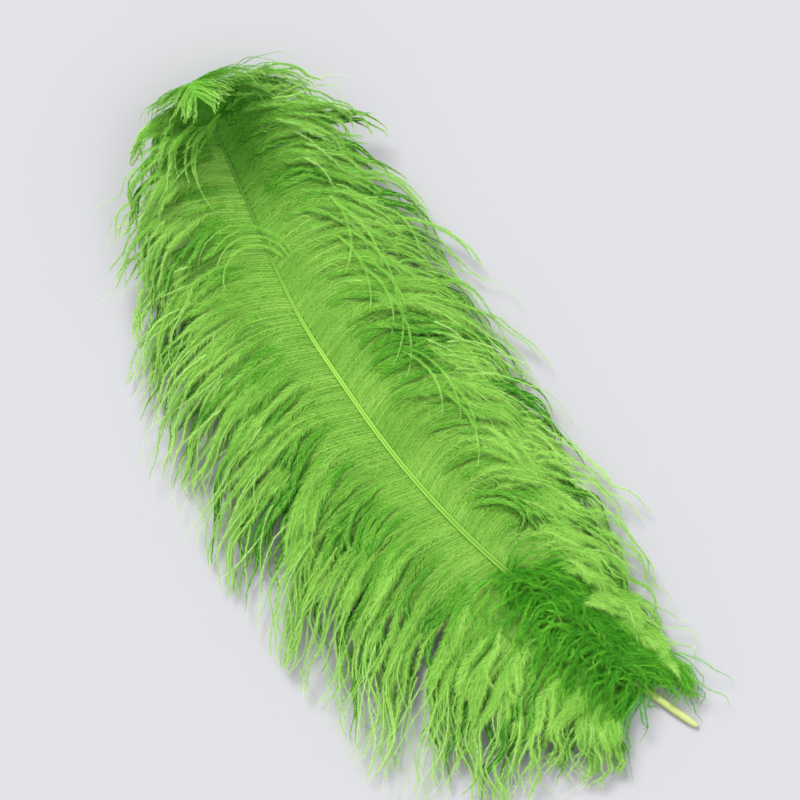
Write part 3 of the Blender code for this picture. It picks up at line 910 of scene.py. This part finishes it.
# a square level plane that belongs to the stage
def stagePlane(name, size, height, colour):
    mesh = bpy.data.meshes.new(name)
    s = size / 2
    corners = [(-s, -s, height), (s, -s, height), (s, s, height), (-s, s, height)]
    mesh.from_pydata(corners, [], [(0, 1, 2, 3)])
    piece = bpy.data.objects.new(name, mesh)
    bpy.context.scene.collection.objects.link(piece)
    material = bpy.data.materials.new(name)
    material.use_nodes = True
    shader = material.node_tree.nodes["Principled BSDF"]
    shader.inputs["Base Color"].default_value = (*colour, 1)
    shader.inputs["Roughness"].default_value = studio["floorRoughness"]
    mesh.materials.append(material)


studio = {
    "floor": (0.44, 0.44, 0.455), "floorSize": 400, "floorRoughness": 0.9,
    "horizon": (0.765, 0.765, 0.790), "zenith": (0.570, 0.570, 0.590),
    "key": 4.1, "keyWidth": 24, "fill": 0.85, "fillWidth": 50,  # strengths, and widths in degrees
    "keyWay": (-0.40, 0.85, 0.80), "fillWay": (0.5, -0.2, 1.0),  # right, up the view and upwards
    "lens": 80, "field": 0.615,  # the width the camera takes in at the plume's height, in metres
    "aim": (-0.0265, 0.3400), "nearest": 0.01,  # from the quill's end, and above the floor
}

# the plume leans this far to the left of upright as the camera sees it
lean = math.radians(37.9)
viewUp = Vector((math.sin(lean), math.cos(lean), 0))
viewRight = Vector((math.cos(lean), -math.sin(lean), 0))


def softSun(name):  # a wide sun that shines from its way
    right, up, high = studio[name + "Way"]
    way = viewUp * up + viewRight * right + Vector((0, 0, high))
    data = bpy.data.lights.new(name, "SUN")
    data.energy, data.angle = studio[name], math.radians(studio[name + "Width"])
    lamp = bpy.data.objects.new(name, data)
    lamp.location = way
    lamp.rotation_euler = (-way).to_track_quat("-Z", "Y").to_euler()
    bpy.context.scene.collection.objects.link(lamp)


# the sky is about as bright as the floor at the horizon, and a little darker overhead
def makeWorld():
    world = bpy.data.worlds.new("studio")
    bpy.context.scene.world = world
    world.use_nodes = True
    nodes, links = world.node_tree.nodes, world.node_tree.links
    place = nodes.new("ShaderNodeTexCoord")
    split = nodes.new("ShaderNodeSeparateXYZ")
    blend = nodes.new("ShaderNodeMix")
    blend.data_type = "RGBA"
    blend.inputs[6].default_value = (*studio["horizon"], 1)
    blend.inputs[7].default_value = (*studio["zenith"], 1)
    links.new(place.outputs["Generated"], split.inputs[0])
    links.new(split.outputs["Z"], blend.inputs[0])
    links.new(blend.outputs[2], nodes["Background"].inputs[0])


# floor, sky and two suns, a strong one from the upper left and a weak one from the right
def makeStudio():
    stagePlane("floor", studio["floorSize"], 0.0, studio["floor"])
    makeWorld()
    softSun("key")
    softSun("fill")


# straight down, with the plume's lean
def makeCamera():
    data = bpy.data.cameras.new("camera")
    data.lens = studio["lens"]
    camera = bpy.data.objects.new("camera", data)
    bpy.context.scene.collection.objects.link(camera)
    height = studio["field"] / 2 / (data.sensor_width / 2 / data.lens)
    aimX, aimY = studio["aim"]
    camera.location = (quillEnd[0] + aimX, quillEnd[1] + aimY, height + studio["nearest"])
    turn = Matrix((viewRight, viewUp, Vector((0, 0, 1)))).transposed()
    camera.rotation_euler = turn.to_euler()
    bpy.context.scene.camera = camera


makeStudio()
makeCamera()
bpy.context.scene.view_settings.view_transform = "Standard"
